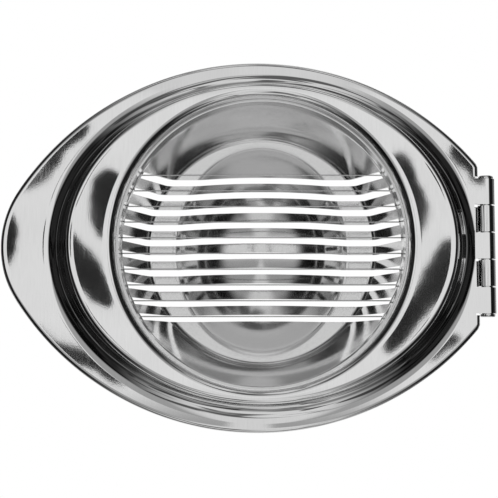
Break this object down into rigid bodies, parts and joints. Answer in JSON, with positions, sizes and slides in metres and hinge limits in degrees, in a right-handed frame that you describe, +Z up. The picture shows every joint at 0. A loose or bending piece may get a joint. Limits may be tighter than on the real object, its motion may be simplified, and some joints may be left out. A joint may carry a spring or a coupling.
{
  "type": "egg slicer",
  "caption": "Pressed steel egg slicer: almond tray with a raised slotted egg cradle on an oval foot, and a hinged lid frame that carries parallel cutting wires.",
  "frame": {"origin": "centre of the overall length and width, on the plane that the oval foot stands on", "axes": "+Z up, +X from the lifting nose to the hinge, +Y across along the hinge pin"},
  "size_m": [0.1574, 0.118, 0.0312],
  "materials": {
    "polished_steel": "mirror polished",
    "wire_steel": "drawn, bright"
  },
  "bodies": {
    "base": {"base_tray": "polished_steel", "egg_cradle": "polished_steel", "hinge_pin": "polished_steel"},
    "lid": {"lid_frame": "polished_steel", "cutting_wire_01": "wire_steel", "cutting_wire_02": "wire_steel", "cutting_wire_03": "wire_steel", "cutting_wire_04": "wire_steel", "cutting_wire_05": "wire_steel", "cutting_wire_06": "wire_steel", "cutting_wire_07": "wire_steel", "cutting_wire_08": "wire_steel", "cutting_wire_09": "wire_steel", "cutting_wire_10": "wire_steel", "crimp_nose_01": "wire_steel", "crimp_nose_02": "wire_steel", "crimp_nose_03": "wire_steel", "crimp_nose_04": "wire_steel", "crimp_nose_05": "wire_steel", "crimp_nose_06": "wire_steel", "crimp_nose_07": "wire_steel", "crimp_nose_08": "wire_steel", "crimp_nose_09": "wire_steel", "crimp_nose_10": "wire_steel", "crimp_hinge_01": "wire_steel", "crimp_hinge_02": "wire_steel", "crimp_hinge_03": "wire_steel", "crimp_hinge_04": "wire_steel", "crimp_hinge_05": "wire_steel", "crimp_hinge_06": "wire_steel", "crimp_hinge_07": "wire_steel", "crimp_hinge_08": "wire_steel", "crimp_hinge_09": "wire_steel", "crimp_hinge_10": "wire_steel"}
  },
  "joints": [
    {"name": "lid_hinge", "type": "hinge", "parent": "base", "child": "lid", "pos_m": [0.076, 0, 0.01575], "axis": [0, 1, 0], "range_deg": [0, 110]}
  ]
}
